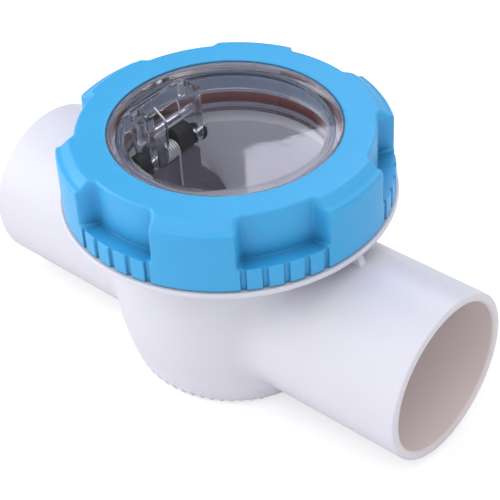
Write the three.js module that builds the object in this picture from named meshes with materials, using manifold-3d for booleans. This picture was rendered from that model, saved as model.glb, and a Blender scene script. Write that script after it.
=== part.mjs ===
// In-line swing check valve: moulded body with two coaxial spigots and a threaded neck, a lock
// ring, a clear plug cover that carries the hinge, and a spring-closed flapper with its soft seal.
// Millimetres. +Z runs up the neck, +X is the flow direction from inlet to outlet.
// The origin is the centre of the flat base under the bowl. The parts are drawn with z measured
// from the flow axis, and the group lifts them by AXIS_HEIGHT. "Left" is -Y and "right" is +Y.
import * as THREE from "three";
import { ParametricGeometry } from "three/addons/geometries/ParametricGeometry.js";
import { mergeVertices } from "three/addons/utils/BufferGeometryUtils.js";
import Module from "manifold-3d";

const wasm = await Module();
wasm.setup();

// ---- dimensions shared between parts ----
const AXIS_HEIGHT = 33; // flow axis above the flat base
const GAP = 0.3; // between neighbouring parts stacked on one axis

const FLANGE_Z0 = 36.6; // skirt flange of the body, under the lock ring
const FLANGE_Z1 = 38.9;
const RING_SHOULDER_Z = 61.6; // underside of the lock ring's top
const COVER_FLANGE_Z1 = 60.2;

const PITCH = 5; // right-hand thread
const THREAD_Z = 41.2; // start of the neck thread
const THREAD_BURY = 0.8; // depth of the thread form inside its wall
const THREAD_HALF_ROOT = 1.3;
const THREAD_HALF_CREST = 0.8;

const HINGE_X = -27.5;
const HINGE_Z = 41.7;
const PIN_CLEARANCE_R = 1.8; // bore of the parts on the hinge pin
const ARM_Y0 = 10.6; // inner and outer faces of the bracket arms
const ARM_Y1 = 13.9;
const KNUCKLE_Y = 9.4; // half width of the flapper's knuckles

// Flapper stack along X
const DISC_R = 28.3;
const SCREW_CLEARANCE_R = 2.8;
const PLATE_X0 = -30.4; // upstream face of the arm plate
const PLATE_X1 = -27.4; // downstream face of the arm plate
const SEAL_X1 = PLATE_X0 - GAP;
const SEAL_X0 = SEAL_X1 - 2;
const RETAINER_X1 = SEAL_X0 - GAP;
const RETAINER_X0 = RETAINER_X1 - 2;
const NUT_WASHER_X0 = PLATE_X1 + GAP;
const NUT_WASHER_X1 = NUT_WASHER_X0 + 0.9;
const NUT_X0 = NUT_WASHER_X1 + GAP;
const NUT_X1 = NUT_X0 + 3.2;

// ---- materials ----
const finish = (options) => new THREE.MeshStandardMaterial(options);
const WHITE_PLASTIC = finish({ color: 0xdcdde8, roughness: 0.35 });
const BLUE_PLASTIC = finish({ color: 0x54bcf5, roughness: 0.3 });
const CLEAR_PLASTIC = finish({
  color: 0xdfe4ea,
  roughness: 0.05,
  transparent: true,
  opacity: 0.35,
});
const RED_RUBBER = finish({ color: 0x6e3c3a, roughness: 0.6 });
const GREY_PLASTIC = finish({ color: 0x4b4950, roughness: 0.5 });
const BLACK_PLASTIC = finish({ color: 0x28282e, roughness: 0.5 });
const BLACK_RUBBER = finish({ color: 0x1c1c1e, roughness: 0.8 });
const STAINLESS = finish({ color: 0xc9ccd0, roughness: 0.25, metalness: 1 });
const WHITE_SLIP = finish({ color: 0xf0f0ee, roughness: 0.4 });

// ---- solids ----
// Closed three.js geometry to a manifold solid, turned outside out if its faces point inward.
function solid(geometry) {
  geometry.deleteAttribute("normal");
  geometry.deleteAttribute("uv");
  const merged = mergeVertices(geometry, 1e-4);
  const positions = merged.getAttribute("position").array;
  const index = merged.getIndex().array;
  const build = (flip) => {
    const triangles = [];
    for (let i = 0; i < index.length; i += 3) {
      const [a, b, c] = [index[i], index[i + 1], index[i + 2]];
      if (a === b || b === c || a === c) continue;
      triangles.push(a, ...(flip ? [c, b] : [b, c]));
    }
    const mesh = new wasm.Mesh({
      numProp: 3,
      vertProperties: new Float32Array(positions),
      triVerts: new Uint32Array(triangles),
    });
    return new wasm.Manifold(mesh);
  };
  const built = build(false);
  return built.volume() < 0 ? build(true) : built;
}

function geometryOf(manifold) {
  const mesh = manifold.getMesh();
  const geometry = new THREE.BufferGeometry();
  geometry.setAttribute("position", new THREE.Float32BufferAttribute(mesh.vertProperties, 3));
  geometry.setIndex(Array.from(mesh.triVerts));
  geometry.computeVertexNormals();
  return geometry;
}

const join = (...solids) => solids.reduce((a, b) => a.add(b));
const vectors = (points) => points.map(([x, y]) => new THREE.Vector2(x, y));
const closed = (points) => [...points, points[0]];

// Turned solids, from [radius, distance along the axis] points.
const lathe = (points, segments) => new THREE.LatheGeometry(vectors(points), segments);
const turnX = (points, segments = 48) => solid(lathe(points, segments).rotateZ(-Math.PI / 2));
const turnY = (points, segments) => solid(lathe(points, segments));
const turnZ = (points, segments = 48) => solid(lathe(points, segments).rotateX(Math.PI / 2));

// Outlines for turning: a flat ring and a plain cylinder.
const washer = (inner, outer, start, end) =>
  closed([[inner, start], [outer, start], [outer, end], [inner, end]]);
const rod = (radius, start, end) => [[0, start], [radius, start], [radius, end], [0, end]];

function block([x0, x1], [y0, y1], [z0, z1]) {
  const box = new THREE.BoxGeometry(x1 - x0, y1 - y0, z1 - z0);
  return solid(box.translate((x0 + x1) / 2, (y0 + y1) / 2, (z0 + z1) / 2));
}

const polygon = (points) => new THREE.Shape(vectors(points));
const roundHole = (x, y, radius) => new THREE.Path().absarc(x, y, radius, 0, 2 * Math.PI, true);
const extrude = (shape, depth, curveSegments = 12) =>
  new THREE.ExtrudeGeometry(shape, { depth, bevelEnabled: false, curveSegments });

// Outline in [y, z] pushed along X.
const pushX = (shape, x0, x1) =>
  solid(
    extrude(shape, x1 - x0)
      .rotateX(Math.PI / 2)
      .rotateZ(Math.PI / 2)
      .translate(x0, 0, 0),
  );
// Outline in [x, z] pushed along Y.
const pushY = (shape, y0, y1) =>
  solid(extrude(shape, y1 - y0).rotateX(Math.PI / 2).translate(0, y1, 0));

// ---- thread ----
// Helix with an exact radial frame, so that a thread form stays square to the axis.
class ThreadPath extends THREE.Curve {
  constructor(radius, z0, turns) {
    super();
    Object.assign(this, { radius, z0, turns });
  }
  angle(t) {
    return t * this.turns * 2 * Math.PI;
  }
  getPoint(t, target = new THREE.Vector3()) {
    const a = this.angle(t);
    const z = this.z0 + PITCH * this.turns * t;
    return target.set(this.radius * Math.cos(a), this.radius * Math.sin(a), z);
  }
  computeFrenetFrames(segments) {
    const frames = { tangents: [], normals: [], binormals: [] };
    for (let i = 0; i <= segments; i++) {
      const a = this.angle(i / segments);
      frames.tangents.push(new THREE.Vector3(-Math.sin(a), Math.cos(a), 0));
      frames.normals.push(new THREE.Vector3(Math.cos(a), Math.sin(a), 0));
      frames.binormals.push(new THREE.Vector3(0, 0, 1));
    }
    return frames;
  }
}

// Male when the crest lies outside the root, female when it lies inside.
function thread(rootR, crestR, z0, turns) {
  const height = crestR - rootR;
  const bury = height > 0 ? -THREAD_BURY : THREAD_BURY;
  const form = polygon([
    [bury, -THREAD_HALF_ROOT],
    [0, -THREAD_HALF_ROOT],
    [height, -THREAD_HALF_CREST],
    [height, THREAD_HALF_CREST],
    [0, THREAD_HALF_ROOT],
    [bury, THREAD_HALF_ROOT],
  ]);
  return solid(
    new THREE.ExtrudeGeometry(form, {
      steps: Math.round(40 * turns),
      bevelEnabled: false,
      extrudePath: new ThreadPath(rootR, z0, turns),
    }),
  );
}

// ---- valve body ----
const SPIGOT_R = 31.5; // 63 mm metric pipe
const SPIGOT_BORE = 28;
const HALF_LENGTH = 96; // neck axis to spigot end face
const END_CHAMFER = 0.8;
const FILLET_MIN = 1; // spigot to bowl, above and below
const FILLET_SIDE = 12.5; // added at the sides
const FILLET_SINK = 0.12; // fillet surface past the surfaces it touches
const FILLET_BURY = 1.1; // inner edge of the fillet past the corner it fills

const FLANGE_R = 60.5;
const FLANGE_EDGE = 0.5;
const NECK_R = 46.8; // thread root
const NECK_CREST_R = 48.3;
const NECK_BORE = 44;
const NECK_TOP = 56.7;
const NECK_TURNS = 2.25;
const CUT_TOP = NECK_TOP + 2; // cutters end above the neck

const SEAT_X = -33; // face that meets the flapper
const SEAT_ROOT_X = -44;
const SEAT_OUTER = 30;
const SEAT_BORE = 25.5;
const FLAPPER_CLEARANCE = 0.8;

// Outside of the bowl from base to flange: [radius, z].
const BOWL = [
  [35.6, -AXIS_HEIGHT], [37.9, -31.8], [40.4, -27], [42.8, -18],
  [44.4, -6], [45.3, 6], [45.2, 18], [44.4, FLANGE_Z0],
];

// Inside of the bowl and neck, open above the neck: [radius, z].
const CHAMBER = [
  [0, -29.2], [33, -29.2], [35.4, -28], [37.6, -23], [39.6, -14],
  [41, -3], [41.6, 8], [41.2, 37], [NECK_BORE, 39.8],
  [NECK_BORE, NECK_TOP - 1], [NECK_BORE + 0.7, NECK_TOP],
  [NECK_BORE + 0.7, CUT_TOP], [0, CUT_TOP],
];

// Web under the flange over each spigot: [distance from the neck axis, z].
const FLANGE_WEB = [
  [42, 29], [60, 29], [60, 31.8], [57.5, FLANGE_Z0 + 0.4], [42, FLANGE_Z0 + 0.4],
];
const WEB_HALF_THICK = 1.6;

function bowlRadius(z) {
  for (let i = 1; i < BOWL.length; i++) {
    const [r0, z0] = BOWL[i - 1];
    const [r1, z1] = BOWL[i];
    if (z <= z1) return r0 + (r1 - r0) * Math.max(0, (z - z0) / (z1 - z0));
  }
  return BOWL[BOWL.length - 1][0];
}

// Section of the fillet at an angle round the spigot, measured from the top: an arc about the
// centre of a ball that touches spigot and bowl, then one point buried in the corner.
function filletSection(angle, arcSteps) {
  const sin = Math.sin(angle);
  const cos = Math.cos(angle);
  const radius = FILLET_MIN + FILLET_SIDE * sin * sin;
  const y = (SPIGOT_R + radius) * sin;
  const z = (SPIGOT_R + radius) * cos;

  // Settle on the height where the ball touches the bowl, and the bowl's normal there.
  let touchZ = z;
  let normalR = 1;
  let normalZ = 0;
  for (let i = 0; i < 12; i++) {
    const slope = (bowlRadius(touchZ + 1) - bowlRadius(touchZ - 1)) / 2;
    normalR = 1 / Math.hypot(1, slope);
    normalZ = -slope * normalR;
    touchZ += 0.5 * (z - radius * normalZ - touchZ);
  }
  const centreR = bowlRadius(touchZ) + radius * normalR;
  const x = Math.sqrt(Math.max(centreR * centreR - y * y, 1));
  const centre = new THREE.Vector3(x, y, z);

  const toSpigot = new THREE.Vector3(0, -sin, -cos);
  const toBowl = new THREE.Vector3((-normalR * x) / centreR, (-normalR * y) / centreR, -normalZ);
  const sweep = toSpigot.angleTo(toBowl);
  const section = [];
  for (let i = 0; i <= arcSteps; i++) {
    const t = i / arcSteps;
    const point = toSpigot.clone().multiplyScalar(Math.sin((1 - t) * sweep) / Math.sin(sweep));
    point.addScaledVector(toBowl, Math.sin(t * sweep) / Math.sin(sweep));
    section.push(point.multiplyScalar(radius + FILLET_SINK).add(centre));
  }
  const middle = toSpigot.clone().add(toBowl).normalize();
  section.push(middle.multiplyScalar(radius / Math.cos(sweep / 2) + FILLET_BURY).add(centre));
  return section;
}

// Fillet where a spigot leaves the bowl: wide at the sides, small above and below.
function junction(side) {
  const around = 72;
  const arcSteps = 7;
  const perSection = arcSteps + 2;
  const sections = [];
  for (let k = 0; k < around; k++) {
    sections.push(filletSection((2 * Math.PI * k) / around, arcSteps));
  }
  // Both directions wrap round; nothing reaches below the flat base.
  const surface = (u, v, target) => {
    const section = sections[Math.round(u * around) % around];
    const point = section[Math.round(v * perSection) % perSection];
    return target.set(side * point.x, point.y, Math.max(point.z, -AXIS_HEIGHT));
  };
  return solid(new ParametricGeometry(surface, around, perSection));
}

function bodyOutside() {
  const bowl = turnZ([
    [0, -AXIS_HEIGHT],
    ...BOWL,
    [FLANGE_R - FLANGE_EDGE, FLANGE_Z0],
    [FLANGE_R, FLANGE_Z0 + FLANGE_EDGE],
    [FLANGE_R, FLANGE_Z1 - FLANGE_EDGE],
    [FLANGE_R - FLANGE_EDGE, FLANGE_Z1],
    [NECK_R, FLANGE_Z1],
    [NECK_R, NECK_TOP - 0.6],
    [NECK_R - 0.6, NECK_TOP],
    [0, NECK_TOP],
  ]);
  const pipes = turnX([
    [0, -HALF_LENGTH],
    [SPIGOT_R - END_CHAMFER, -HALF_LENGTH],
    [SPIGOT_R, -HALF_LENGTH + END_CHAMFER],
    [SPIGOT_R, HALF_LENGTH - END_CHAMFER],
    [SPIGOT_R - END_CHAMFER, HALF_LENGTH],
    [0, HALF_LENGTH],
  ]);
  const neckThread = thread(NECK_R, NECK_CREST_R, THREAD_Z, NECK_TURNS);
  const webs = [1, -1].map((side) => {
    const outline = polygon(FLANGE_WEB.map(([x, z]) => [side * x, z]));
    return pushY(outline, -WEB_HALF_THICK, WEB_HALF_THICK);
  });
  return join(bowl, pipes, neckThread, ...webs, junction(1), junction(-1));
}

// Through bore, its end chamfers carried on past the end faces.
function boreCutter() {
  const past = 1;
  return turnX([
    [0, -HALF_LENGTH - past],
    [SPIGOT_BORE + END_CHAMFER + past, -HALF_LENGTH - past],
    [SPIGOT_BORE, -HALF_LENGTH + END_CHAMFER],
    [SPIGOT_BORE, HALF_LENGTH - END_CHAMFER],
    [SPIGOT_BORE + END_CHAMFER + past, HALF_LENGTH + past],
    [0, HALF_LENGTH + past],
  ]);
}

function valveBody() {
  const keyway = block([-45.5, -40], [-3.1, 3.1], [53.4, CUT_TOP]);
  const seat = turnX(
    closed([
      [SPIGOT_BORE, SEAT_ROOT_X],
      [SEAT_OUTER, SEAT_ROOT_X],
      [SEAT_OUTER, SEAT_X - 0.8],
      [SEAT_OUTER - 0.8, SEAT_X],
      [SEAT_BORE + 0.6, SEAT_X],
      [SEAT_BORE, SEAT_X - 0.6],
      [SEAT_BORE, SEAT_X - 3],
      [SPIGOT_BORE, SEAT_X - 6],
    ]),
  );
  // clearance for the closed flapper where the bowl wall runs into the inlet
  const flapperPocket = turnX(rod(DISC_R + FLAPPER_CLEARANCE, SEAT_X, -22));
  return bodyOutside()
    .subtract(turnZ(CHAMBER))
    .subtract(boreCutter())
    .subtract(keyway)
    .add(seat)
    .subtract(flapperPocket);
}

// ---- lock ring ----
const RING_R = 59.5;
const RING_Z0 = FLANGE_Z1 + GAP;
const RING_TOP = 65.2;
const RING_HOLE = 41.5;
const RING_BORE = 49.2; // thread root
const RING_CREST = 47.2;
const RING_TURNS = 2;
const POCKETS = 6; // grip pockets round the outside
const POCKET_R = 52.7; // pocket floor
const POCKET_FILLET = 2.2;
const LEDGE_Z = 47.7; // bottom of the pockets
const SLOTS_EACH_SIDE = 2; // of the middle slot, below each pocket
const SLOT_PITCH_DEG = 7.1;
const SLOT_WIDTH = 1.9;
const SLOT_DEPTH = 1;

// Pocket seen from above, centred on +X and open outward.
function pocketShape() {
  const cutR = 66;
  const flare = 0.02; // radians, at cutR
  const half = Math.PI / POCKETS / 2;
  const sideR = POCKET_R + POCKET_FILLET;
  const floorHalf = half - POCKET_FILLET / sideR;
  const floorSteps = 4;
  const at = (r, a) => [r * Math.cos(a), r * Math.sin(a)];
  const shape = new THREE.Shape();
  shape.moveTo(...at(cutR, -half - flare));
  shape.lineTo(...at(sideR, -half));
  shape.quadraticCurveTo(...at(POCKET_R, -half), ...at(POCKET_R, -floorHalf));
  for (let i = 1; i <= floorSteps; i++) {
    shape.lineTo(...at(POCKET_R, -floorHalf + (2 * floorHalf * i) / floorSteps));
  }
  shape.quadraticCurveTo(...at(POCKET_R, half), ...at(sideR, half));
  shape.lineTo(...at(cutR, half + flare));
  shape.closePath();
  return shape;
}

function lockRing() {
  let ring = turnZ(
    closed([
      [RING_BORE + 0.6, RING_Z0],
      [RING_R, RING_Z0],
      [RING_R, 60.2],
      [59, 61],
      [55.2, 64.8],
      [54.4, RING_TOP],
      [RING_HOLE, RING_TOP],
      [RING_HOLE, RING_SHOULDER_Z],
      [RING_BORE, RING_SHOULDER_Z],
      [RING_BORE, RING_Z0 + 0.6],
    ]),
    60,
  );
  const pocket = solid(extrude(pocketShape(), 30, 4).translate(0, 0, LEDGE_Z));
  const slot = block(
    [RING_R - SLOT_DEPTH, RING_R + 3],
    [-SLOT_WIDTH / 2, SLOT_WIDTH / 2],
    [RING_Z0 - 1, LEDGE_Z + 1],
  );
  for (let k = 0; k < POCKETS; k++) {
    const middleDeg = ((k + 0.5) * 360) / POCKETS;
    ring = ring.subtract(pocket.rotate([0, 0, middleDeg]));
    for (let i = -SLOTS_EACH_SIDE; i <= SLOTS_EACH_SIDE; i++) {
      ring = ring.subtract(slot.rotate([0, 0, middleDeg + i * SLOT_PITCH_DEG]));
    }
  }
  // half a pitch up, between the turns of the neck thread
  return ring.add(thread(RING_BORE, RING_CREST, THREAD_Z + PITCH / 2, RING_TURNS));
}

const slipWasher = () => turnZ(washer(41.6, 46.6, COVER_FLANGE_Z1 + GAP, RING_SHOULDER_Z - GAP));

// ---- clear cover with the hinge bracket ----
const COVER_TOP = 64.7;
const COVER_DISC_R = 41.2;
const COVER_FLANGE_R = 46.8; // passes inside the ring thread
const COVER_FLANGE_Z0 = 57;
const COVER_UNDERSIDE = COVER_TOP - 2.5;
const SKIRT_R = 43.6;
const SKIRT_BORE = 38.5;
const SKIRT_Z0 = 43.4;
const CORNER = 5.5; // inside fillet between window and skirt
const GROOVE_R = 40.1; // O-ring groove
const GROOVE_Z0 = 45.4;
const GROOVE_Z1 = 51.5;

const ARM_R = 3.6; // round end of a bracket arm
const ARM_HOLE_R = 2.7;
const BRACKET_X0 = -34.4; // upstream face
const BRACKET_Z0 = 55; // lower edge of the rear web and the wing
const BRACKET_TOP = 63; // inside the cover's window
const BAR_X = [-26.95, -24.95];
const BAR_END_Y = -17;

function coverShell() {
  const corner = [90, 60, 30, 0].map((degrees) => {
    const a = THREE.MathUtils.degToRad(degrees);
    return [
      SKIRT_BORE - CORNER * (1 - Math.cos(a)),
      COVER_UNDERSIDE - CORNER * (1 - Math.sin(a)),
    ];
  });
  return turnZ([
    [0, COVER_UNDERSIDE],
    ...corner,
    [SKIRT_BORE, SKIRT_Z0 + 0.5],
    [SKIRT_BORE + 0.5, SKIRT_Z0],
    [SKIRT_R - 0.8, SKIRT_Z0],
    [SKIRT_R, SKIRT_Z0 + 0.8],
    [SKIRT_R, GROOVE_Z0],
    [GROOVE_R, GROOVE_Z0],
    [GROOVE_R, GROOVE_Z1],
    [SKIRT_R, GROOVE_Z1],
    [SKIRT_R, COVER_FLANGE_Z0],
    [COVER_FLANGE_R, COVER_FLANGE_Z0],
    [COVER_FLANGE_R, COVER_FLANGE_Z1],
    [COVER_DISC_R, COVER_FLANGE_Z1],
    [COVER_DISC_R, COVER_TOP - 0.5],
    [COVER_DISC_R - 0.5, COVER_TOP],
    [0, COVER_TOP],
  ]);
}

function bracketArmShape() {
  const shape = new THREE.Shape();
  shape.moveTo(HINGE_X - ARM_R, HINGE_Z);
  shape.absarc(HINGE_X, HINGE_Z, ARM_R, Math.PI, 2 * Math.PI, false);
  shape.lineTo(HINGE_X + ARM_R, BRACKET_TOP);
  shape.lineTo(BRACKET_X0, BRACKET_TOP);
  shape.lineTo(BRACKET_X0, BRACKET_Z0);
  shape.closePath();
  shape.holes.push(roundHole(HINGE_X, HINGE_Z, ARM_HOLE_R));
  return shape;
}

function sightCover() {
  const key = block([-45, -43], [-2.6, 2.6], [53.8, 57.5]);
  const leftArm = pushY(bracketArmShape(), -ARM_Y1, -ARM_Y0);
  const rightArm = pushY(bracketArmShape(), ARM_Y0, ARM_Y1);
  // cross bar for the spring leg, its upright wing on the left, and the upstream web
  const bar = block(BAR_X, [BAR_END_Y, 12], [53.3, 56.5]);
  const wing = block(BAR_X, [BAR_END_Y, -12], [BRACKET_Z0, BRACKET_TOP]);
  const rearWeb = block([BRACKET_X0, -32.6], [-16.9, 17.1], [BRACKET_Z0, BRACKET_TOP]);
  return join(coverShell(), key, leftArm, rightArm, bar, wing, rearWeb);
}

// Squeezed cord of oval section.
function coverORing() {
  const [centreR, centreZ] = [42.05, 48.3];
  const [halfWidth, halfHeight] = [1.75, 2.5];
  const sides = 10;
  const section = [];
  for (let i = 0; i < sides; i++) {
    const a = (i / sides) * 2 * Math.PI;
    section.push([centreR + halfWidth * Math.cos(a), centreZ + halfHeight * Math.sin(a)]);
  }
  return turnZ(closed(section));
}

// ---- flapper ----
// Strap from the disc up to the hinge: [y, z].
const STRAP = [
  [-15, 18], [15, 18], [15, 33.7], [KNUCKLE_Y, 38.8],
  [KNUCKLE_Y, HINGE_Z], [-KNUCKLE_Y, HINGE_Z], [-KNUCKLE_Y, 38.8], [-15, 33.7],
];

function flapperArm() {
  const disc = turnX(
    [
      [0, PLATE_X0],
      [DISC_R - 0.4, PLATE_X0],
      [DISC_R, PLATE_X0 + 0.4],
      [DISC_R, PLATE_X1 - 1],
      [DISC_R - 1, PLATE_X1],
      [0, PLATE_X1],
    ],
    56,
  );
  const strap = pushX(polygon(STRAP), PLATE_X0, PLATE_X1);
  const barrel = (radius, x, z) =>
    turnY(rod(radius, -KNUCKLE_Y, KNUCKLE_Y), 24).translate([x, 0, z]);
  const knuckle = barrel(3.5, HINGE_X, HINGE_Z);
  // stop lug standing above the knuckles, either side of the spring window
  const lug = barrel(3.6, HINGE_X - 0.6, HINGE_Z + 3.4);
  const springWindow = block([-40, -15], [-5.7, 1.5], [36.2, 60]);
  const pinBore = turnY(rod(PIN_CLEARANCE_R, -20, 20), 24).translate([HINGE_X, 0, HINGE_Z]);
  return join(disc, strap, knuckle, lug)
    .subtract(springWindow)
    .subtract(pinBore)
    .subtract(turnX(rod(SCREW_CLEARANCE_R, -50, 0), 24));
}

// Flat ring round the retainer screw.
const screwWasher = (radius, x0, x1, segments) =>
  turnX(washer(SCREW_CLEARANCE_R, radius, x0, x1), segments);

function retainerNut() {
  const cornerR = 4.9;
  const corners = [];
  for (let i = 0; i < 6; i++) {
    const a = (i * Math.PI) / 3;
    corners.push([cornerR * Math.cos(a), cornerR * Math.sin(a)]);
  }
  const hexagon = polygon(corners);
  hexagon.holes.push(roundHole(0, 0, SCREW_CLEARANCE_R));
  return pushX(hexagon, NUT_X0, NUT_X1);
}

// Pan head upstream with a cross of two slots, plain shank.
function retainerScrew() {
  const headX1 = RETAINER_X0 - GAP;
  const [headR, shankR] = [4.8, 2.5];
  const [slotHalfLength, slotHalfWidth] = [2.6, 0.5];
  const body = turnX(
    [
      [0, -37.8],
      [3.6, -37.8],
      [headR, -36.9],
      [headR, headX1],
      [shankR, headX1],
      [shankR, -22.2],
      [shankR - 0.5, -21.7],
      [0, -21.7],
    ],
    24,
  );
  const slot = (halfY, halfZ) => block([-39, -36.8], [-halfY, halfY], [-halfZ, halfZ]);
  const cross = join(slot(slotHalfLength, slotHalfWidth), slot(slotHalfWidth, slotHalfLength));
  return body.subtract(cross);
}

// ---- hinge pin and its fittings, centred on the hinge axis ----
const PIN_R = 1.5;
const PIN_GROOVE_R = 1.1;
// Pin with a clip groove near each end: [radius, y].
const PIN = [
  [0, -22.1], [1.2, -22.1], [PIN_R, -21.8], [PIN_R, -21.2],
  [PIN_GROOVE_R, -21.2], [PIN_GROOVE_R, -20.2], [PIN_R, -20.2],
  [PIN_R, 15.9], [PIN_GROOVE_R, 15.9], [PIN_GROOVE_R, 16.9],
  [PIN_R, 16.9], [PIN_R, 17.6], [1.2, 17.9], [0, 17.9],
];
const FITTING_SEGMENTS = 18;
const BUSH_R = 2.4;
const HEAD_Y = ARM_Y1 + GAP; // inner face of a bush head, from the mid plane
const HEAD_CHAMFER = 0.8;
// The left head is eccentric, raised so that it cannot turn with the pin.
const HINGE_SIDES = [
  { side: "left", sign: -1, headEnd: 20, headR: 4.6, raised: 1.4 },
  { side: "right", sign: 1, headEnd: 15.7, headR: 4, raised: 0 },
];

// Fitting from [radius, distance from the mid plane] points.
const turnFitting = (points, sign = 1) =>
  turnY(points.map(([r, y]) => [r, sign * y]), FITTING_SEGMENTS);

function bush({ sign, headEnd, headR, raised }) {
  const outline = closed([
    [PIN_CLEARANCE_R, ARM_Y0],
    [BUSH_R, ARM_Y0],
    [BUSH_R, HEAD_Y],
    [headR, HEAD_Y],
    [headR, headEnd - HEAD_CHAMFER],
    [headR - HEAD_CHAMFER, headEnd],
    [PIN_CLEARANCE_R, headEnd],
  ]);
  const turned = turnFitting(outline, sign);
  if (raised === 0) return turned;
  const raisedHead = turnFitting(rod(headR, HEAD_Y, headEnd - HEAD_CHAMFER), sign);
  return turned
    .add(raisedHead.translate([0, 0, raised]))
    .subtract(turnFitting(rod(PIN_CLEARANCE_R, 0, 25), sign));
}

// ---- torsion spring ----
const WIRE_R = 0.45;
const COIL_R = 3.3;
const COIL_TURNS = 5;
const COIL_Y0 = -4.8;
const COIL_Y1 = COIL_Y0 + 1.08 * COIL_TURNS;
const LEG_X = HINGE_X + COIL_R;
const KNEE_Z = 57.3; // top of the upper leg
const HOOK = { x: -5.4, z: 3.9 }; // wire end, from the knee
const LOWER_BEND = 3; // length over which the lower leg turns to its lean
const LOWER_LEAN = { x: -0.135, y: 0.13 }; // sideways run per length

const HOOK_LENGTH = Math.hypot(HOOK.x, HOOK.z);
const UPPER_LENGTH = KNEE_Z - HINGE_Z;
const COIL_LENGTH = Math.PI * 2 * COIL_R * COIL_TURNS;
const LOWER_LENGTH = 19;
const WIRE_LENGTH = HOOK_LENGTH + UPPER_LENGTH + COIL_LENGTH + LOWER_LENGTH;

// Hook over the cross bar, leg downstream of it, coil round the pin, leg down the flapper strap.
class SpringPath extends THREE.Curve {
  getPoint(t, target = new THREE.Vector3()) {
    let run = t * WIRE_LENGTH; // length into the current stretch
    if (run <= HOOK_LENGTH) {
      const left = 1 - run / HOOK_LENGTH;
      return target.set(LEG_X + HOOK.x * left, COIL_Y0, KNEE_Z + HOOK.z * left);
    }
    run -= HOOK_LENGTH;
    if (run <= UPPER_LENGTH) return target.set(LEG_X, COIL_Y0, KNEE_Z - run);
    run -= UPPER_LENGTH;
    if (run <= COIL_LENGTH) {
      const f = run / COIL_LENGTH;
      const a = -f * COIL_TURNS * 2 * Math.PI;
      const y = COIL_Y0 + (COIL_Y1 - COIL_Y0) * f;
      return target.set(HINGE_X + COIL_R * Math.cos(a), y, HINGE_Z + COIL_R * Math.sin(a));
    }
    run -= COIL_LENGTH;
    const eased = run < LOWER_BEND ? (run * run) / (2 * LOWER_BEND) : run - LOWER_BEND / 2;
    return target.set(LEG_X + LOWER_LEAN.x * eased, COIL_Y1 + LOWER_LEAN.y * eased, HINGE_Z - run);
  }
}

function torsionSpring() {
  const wire = new THREE.Shape().absarc(0, 0, WIRE_R, 0, 2 * Math.PI, false);
  return solid(
    new THREE.ExtrudeGeometry(wire, {
      steps: 134,
      bevelEnabled: false,
      curveSegments: 3,
      extrudePath: new SpringPath(),
    }),
  );
}

// ---- assembly ----
const valve = new THREE.Group();
valve.position.set(0, 0, AXIS_HEIGHT);
function add(name, manifold, material, parent = valve) {
  const mesh = new THREE.Mesh(geometryOf(manifold), material);
  mesh.name = name;
  parent.add(mesh);
}

add("valve_body", valveBody(), WHITE_PLASTIC);
add("lock_ring", lockRing(), BLUE_PLASTIC);
add("slip_washer", slipWasher(), WHITE_SLIP);
add("sight_cover", sightCover(), CLEAR_PLASTIC);
add("cover_o_ring", coverORing(), RED_RUBBER);

add("flapper_arm", flapperArm(), GREY_PLASTIC);
add("flapper_seal", screwWasher(DISC_R, SEAL_X0, SEAL_X1, 48), BLACK_RUBBER);
add("seal_retainer", screwWasher(20, RETAINER_X0, RETAINER_X1, 40), STAINLESS);
add("retainer_screw", retainerScrew(), STAINLESS);
add("nut_washer", screwWasher(6.5, NUT_WASHER_X0, NUT_WASHER_X1, 28), STAINLESS);
add("retainer_nut", retainerNut(), STAINLESS);

const hinge = new THREE.Group();
hinge.position.set(HINGE_X, 0, HINGE_Z);
valve.add(hinge);
add("hinge_pin", turnFitting(PIN), STAINLESS, hinge);
add("spring_sleeve", turnFitting(washer(PIN_CLEARANCE_R, 2.3, -5.4, 1.2)), WHITE_SLIP, hinge);
for (const fitting of HINGE_SIDES) {
  const { side, sign, headEnd } = fitting;
  const thrustWasher = washer(PIN_CLEARANCE_R, 3.3, KNUCKLE_Y + GAP, ARM_Y0 - GAP);
  const clip = washer(1.4, 3, headEnd + GAP, headEnd + 1.1);
  add(`bush_${side}`, bush(fitting), BLACK_PLASTIC, hinge);
  add(`thrust_washer_${side}`, turnFitting(thrustWasher, sign), WHITE_SLIP, hinge);
  add(`pin_clip_${side}`, turnFitting(clip, sign), STAINLESS, hinge);
}
add("torsion_spring", torsionSpring(), STAINLESS);

export default valve;
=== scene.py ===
"""Check valve with a clear cover over the neck.

The flow axis runs along X, the neck and its lock ring stand up along Z, and the flapper
hangs from a hinge along Y on the -X side. The base rests on z = 0.
Shapes are in mm from the crossing of the flow axis and the neck axis; make() lifts them
onto the base and turns them into metres. Materials, lights and camera are in metres.
"""

import math

import bmesh
import bpy
import numpy as np
from mathutils import Matrix


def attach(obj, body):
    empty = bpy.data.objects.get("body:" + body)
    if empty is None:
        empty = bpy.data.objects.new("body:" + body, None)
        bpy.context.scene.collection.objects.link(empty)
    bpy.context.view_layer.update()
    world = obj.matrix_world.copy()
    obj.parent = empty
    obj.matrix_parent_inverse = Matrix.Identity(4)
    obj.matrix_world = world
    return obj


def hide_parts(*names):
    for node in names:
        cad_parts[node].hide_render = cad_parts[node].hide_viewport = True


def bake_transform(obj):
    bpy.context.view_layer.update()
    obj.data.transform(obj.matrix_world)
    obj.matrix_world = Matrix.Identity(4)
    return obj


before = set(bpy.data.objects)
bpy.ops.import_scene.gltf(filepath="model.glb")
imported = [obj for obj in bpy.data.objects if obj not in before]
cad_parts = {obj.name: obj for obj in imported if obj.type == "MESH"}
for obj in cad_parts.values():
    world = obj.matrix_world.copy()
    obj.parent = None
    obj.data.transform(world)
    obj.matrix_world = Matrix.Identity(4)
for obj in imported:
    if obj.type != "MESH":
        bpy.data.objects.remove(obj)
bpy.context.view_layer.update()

PI = math.pi
TAU = 2 * math.pi

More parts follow.
